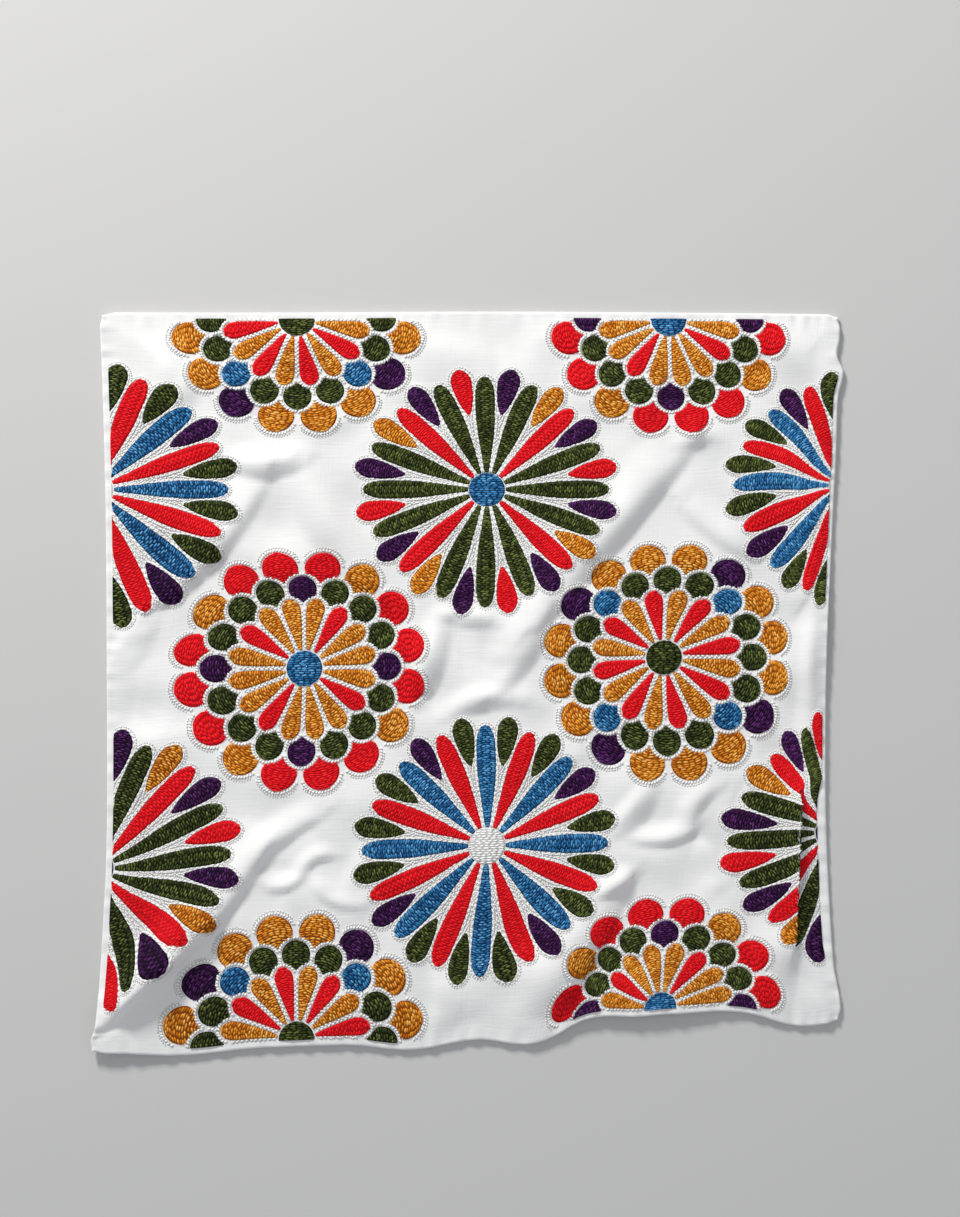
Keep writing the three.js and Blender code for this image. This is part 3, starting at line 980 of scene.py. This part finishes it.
def padding_mesh(name, patches):
    """Every patch of padding of one piece on the cloth, cut off at the seams"""
    flat, faces = [], []
    first = 0
    for u, v, height in patches:
        rows, columns = u.shape
        corner = np.arange(rows * columns).reshape(rows, columns) + first
        quads = np.stack([corner[:-1, :-1], corner[:-1, 1:], corner[1:, 1:], corner[1:, :-1]], axis=-1)
        faces.append(quads.reshape(-1, 4))
        flat.append(np.stack([u.ravel(), v.ravel(), height.ravel()], axis=1))
        first += rows * columns
    u, v, height = np.concatenate(flat).T
    faces = np.concatenate(faces)
    beyond = [u > STITCHED_TO, u < -STITCHED_TO, v > STITCHED_TO, v < -STITCHED_TO]
    faces = faces[~np.any([side[faces].all(axis=1) for side in beyond], axis=0)]
    used, faces = np.unique(faces, return_inverse=True)
    u, v = (np.clip(line[used], -STITCHED_TO, STITCHED_TO) for line in (u, v))
    places = on_cloth(u, v, height[used])[0] * MM
    mesh = bpy.data.meshes.new(name)
    mesh.from_pydata(places.tolist(), [], faces.reshape(-1, 4).tolist())
    work = bmesh.new()
    work.from_mesh(mesh)
    bmesh.ops.remove_doubles(work, verts=work.verts, dist=WELD)
    bmesh.ops.dissolve_degenerate(work, edges=work.edges, dist=WELD)
    work.normal_update()
    bmesh.ops.reverse_faces(work, faces=[face for face in work.faces if face.normal.z < 0])
    work.to_mesh(mesh)
    work.free()
    # The padding keeps tone 0, the darkest stop of its yarn: painted shade for the pits between the stitches
    mesh.attributes.new("tone", "FLOAT", "POINT")
    return mesh


# Side in metres of the square that a piece's UV map takes in, seen from above
BAKE_SIDE = 0.42
stitching = stitching_tree()


def embroidery(name, yarn, height, unevenness, tone_spread, seed):
    """The stitches and padding of one piece of embroidery, on the front cloth"""
    flat = np.concatenate(stitches[name])
    place = leant(flat[:, 0], flat[:, 1])
    pleated = np.interp(flat[:, 1], *np.array(PLEAT_SPAN).T) > 0.5
    tucked = pleated & (place > PLEAT_HIDDEN[0]) & (place < PLEAT_HIDDEN[1])
    flat = flat[(np.abs(flat[:, :2]) < STITCHED_TO).all(axis=1) & ~tucked]
    u, v, run_u, run_v, length, width, rise, lit = flat.T
    for line, along, across in ((u, run_u, run_v), (v, run_v, run_u)):
        extent = (np.abs(along) * length + np.abs(across) * width) / 2
        over = np.maximum(np.abs(line) + extent - STITCHED_TO, 0)
        line -= np.sign(line) * over / 2
        length *= 1 - along**2 * over / (2 * extent)
        width *= 1 - across**2 * over / (2 * extent)
    places, out, right, onward = on_cloth(u, v, rise)
    run = right * run_u[:, None] + onward * run_v[:, None]
    run /= np.linalg.norm(run, axis=1, keepdims=True)
    points = bpy.data.meshes.new(name + "_places")
    points.vertices.add(len(places))
    points.vertices.foreach_set("co", (places * MM).astype(np.float32).ravel())
    for attribute, values in (("run", run), ("out", out)):
        held = points.attributes.new(attribute, "FLOAT_VECTOR", "POINT")
        held.data.foreach_set("vector", values.astype(np.float32).ravel())
    for attribute, values in (("reach", length * MM), ("girth", width * MM), ("lit", lit)):
        held = points.attributes.new(attribute, "FLOAT", "POINT")
        held.data.foreach_set("value", values.astype(np.float32))
    sewn = bpy.data.objects.new(name + "_places", points)
    pad = bpy.data.objects.new(name + "_padding", padding_mesh(name + "_padding", pads[name]))
    bpy.context.collection.objects.link(sewn)
    bpy.context.collection.objects.link(pad)
    made = sewn.modifiers.new("stitching", "NODES")
    made.node_group = stitching
    socket = {item.name: item.identifier for item in stitching.interface.items_tree}
    made[socket["Padding"]] = pad
    made[socket["Yarn"]] = yarn
    made[socket["Height"]] = height * MM
    made[socket["Unevenness"]] = unevenness
    made[socket["Tone spread"]] = tone_spread
    made[socket["Seed"]] = seed
    bpy.context.view_layer.update()
    evaluated = sewn.evaluated_get(bpy.context.evaluated_depsgraph_get())
    mesh = bpy.data.meshes.new_from_object(evaluated)
    mesh.name = name
    bpy.data.objects.remove(sewn)
    bpy.data.objects.remove(pad)
    places = np.zeros(len(mesh.vertices) * 3, np.float32)
    mesh.vertices.foreach_get("co", places)
    corners = np.zeros(len(mesh.loops), np.int32)
    mesh.loops.foreach_get("vertex_index", corners)
    plan = places.reshape(-1, 3)[corners, :2] / BAKE_SIDE + 0.5
    while mesh.uv_layers:
        mesh.uv_layers.remove(mesh.uv_layers[0])
    mesh.uv_layers.new(name="OFBake").data.foreach_set("uv", plan.ravel())
    piece = bpy.data.objects.new(name, mesh)
    bpy.context.collection.objects.link(piece)
    return piece


# Wool: tones of its four shades, the first painted shade for the pits, and the size and depth of its fibres
SHADE_TONES = (0, 0.3, 0.62, 1)
FIBRE_SCALE = 2600
FIBRE_DEPTH = 0.0002


def dyed_yarn(name, shades):
    """Wool yarn: tone differs by stitch; the darkest stop is painted shade for the pits between stitches"""
    finish = {"Roughness": 0.75, "Sheen_Weight": 0.02, "Specular_IOR_Level": 0.08}
    material, nodes, links, shader = new_material(name, **finish)
    tone = nodes.new("ShaderNodeAttribute")
    tone.attribute_name = "tone"
    tints = nodes.new("ShaderNodeValToRGB")
    stops = tints.color_ramp.elements
    stops.new(SHADE_TONES[1])
    stops.new(SHADE_TONES[2])
    for stop, position, shade in zip(stops, SHADE_TONES, shades):
        stop.position = position
        stop.color = (*shade, 1)
    links.new(tone.outputs["Fac"], tints.inputs["Fac"])
    links.new(tints.outputs["Color"], shader.inputs["Base Color"])
    where = nodes.new("ShaderNodeTexCoord")
    fibre = set_inputs(nodes.new("ShaderNodeTexNoise"), Scale=FIBRE_SCALE, Detail=2)
    links.new(where.outputs["Object"], fibre.inputs["Vector"])
    bump = set_inputs(nodes.new("ShaderNodeBump"), Strength=0.5, Distance=FIBRE_DEPTH)
    links.new(fibre.outputs["Fac"], bump.inputs["Height"])
    links.new(bump.outputs["Normal"], shader.inputs["Normal"])
    return material


# Dyes, from painted shade for the pits between stitches to the lightest stitch, and how much the stitches
# differ
DYES_AND_PIT_SHADE = {
    "red": [(0.55, 0.004, 0.010), (0.70, 0.006, 0.012), (0.86, 0.010, 0.017), (0.97, 0.030, 0.032)],
    "green": [(0.006, 0.009, 0.002), (0.020, 0.029, 0.007), (0.060, 0.080, 0.018), (0.19, 0.235, 0.06)],
    "ochre": [(0.26, 0.062, 0.003), (0.53, 0.155, 0.010), (0.82, 0.31, 0.026), (0.98, 0.54, 0.12)],
    "purple": [(0.008, 0.002, 0.012), (0.024, 0.005, 0.036), (0.060, 0.010, 0.080), (0.16, 0.040, 0.20)],
    "blue": [(0.005, 0.030, 0.085), (0.015, 0.100, 0.26), (0.036, 0.21, 0.46), (0.14, 0.43, 0.75)],
    "white": [(0.62, 0.615, 0.60), (0.82, 0.81, 0.79), (0.93, 0.925, 0.905), (0.97, 0.965, 0.95)],
}
TONE_SPREAD = {"red": 0.2, "green": 0.24, "ochre": 0.3, "purple": 0.24, "blue": 0.3, "white": 0.14}
# Height of one stitch, lower in the flat white middles, and how uneven the stitches are
BEAD_HEIGHT = 0.6
FLAT_BEAD_HEIGHT = 0.3
BEAD_UNEVENNESS = 0.14
wools = {colour: dyed_yarn(colour + "_yarn", shades) for colour, shades in DYES_AND_PIT_SHADE.items()}
for seed, name in enumerate(YARN_PIECES):
    colour = name.split("_")[0]
    bead_height = FLAT_BEAD_HEIGHT if name == "white_embroidery" else BEAD_HEIGHT
    piece = embroidery(name, wools[colour], bead_height, BEAD_UNEVENNESS, TONE_SPREAD[colour], seed)
    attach(piece, "root")

# Back panel: the same cotton without embroidery. It lies flat on the floor and its edge turns up to meet
# the front at the seam.
BACK_THICK = 0.8
BACK_PITCH = 7
BACK_LIGHT = (0.88, 0.875, 0.86, 1)
BACK_SHADE = (0.81, 0.805, 0.79, 1)


def back_under(u, v):
    """Under side of the back cloth over points of the flat panel: rows of X, Y and Z"""
    x, y = lain(u, v)
    from_seam = HALF - np.maximum(np.abs(u), np.abs(v))
    turned = 1 - np.clip(from_seam / ROLL, 0, 1)
    height = np.maximum(lifted(x, y) + puckers(u, v, hill(from_seam / ROLL)), 0)
    return np.stack([x, y, height + ROLL * (1 - np.sqrt(1 - turned**2))], axis=1)


back_lines = lattice_lines(BACK_PITCH)
back = sheet("plain_back", back_lines, back_lines, back_under, BACK_THICK, -1)
back.data.materials.append(cotton("back_cotton", BACK_LIGHT, BACK_SHADE))
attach(back, "root")
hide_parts("back_panel")
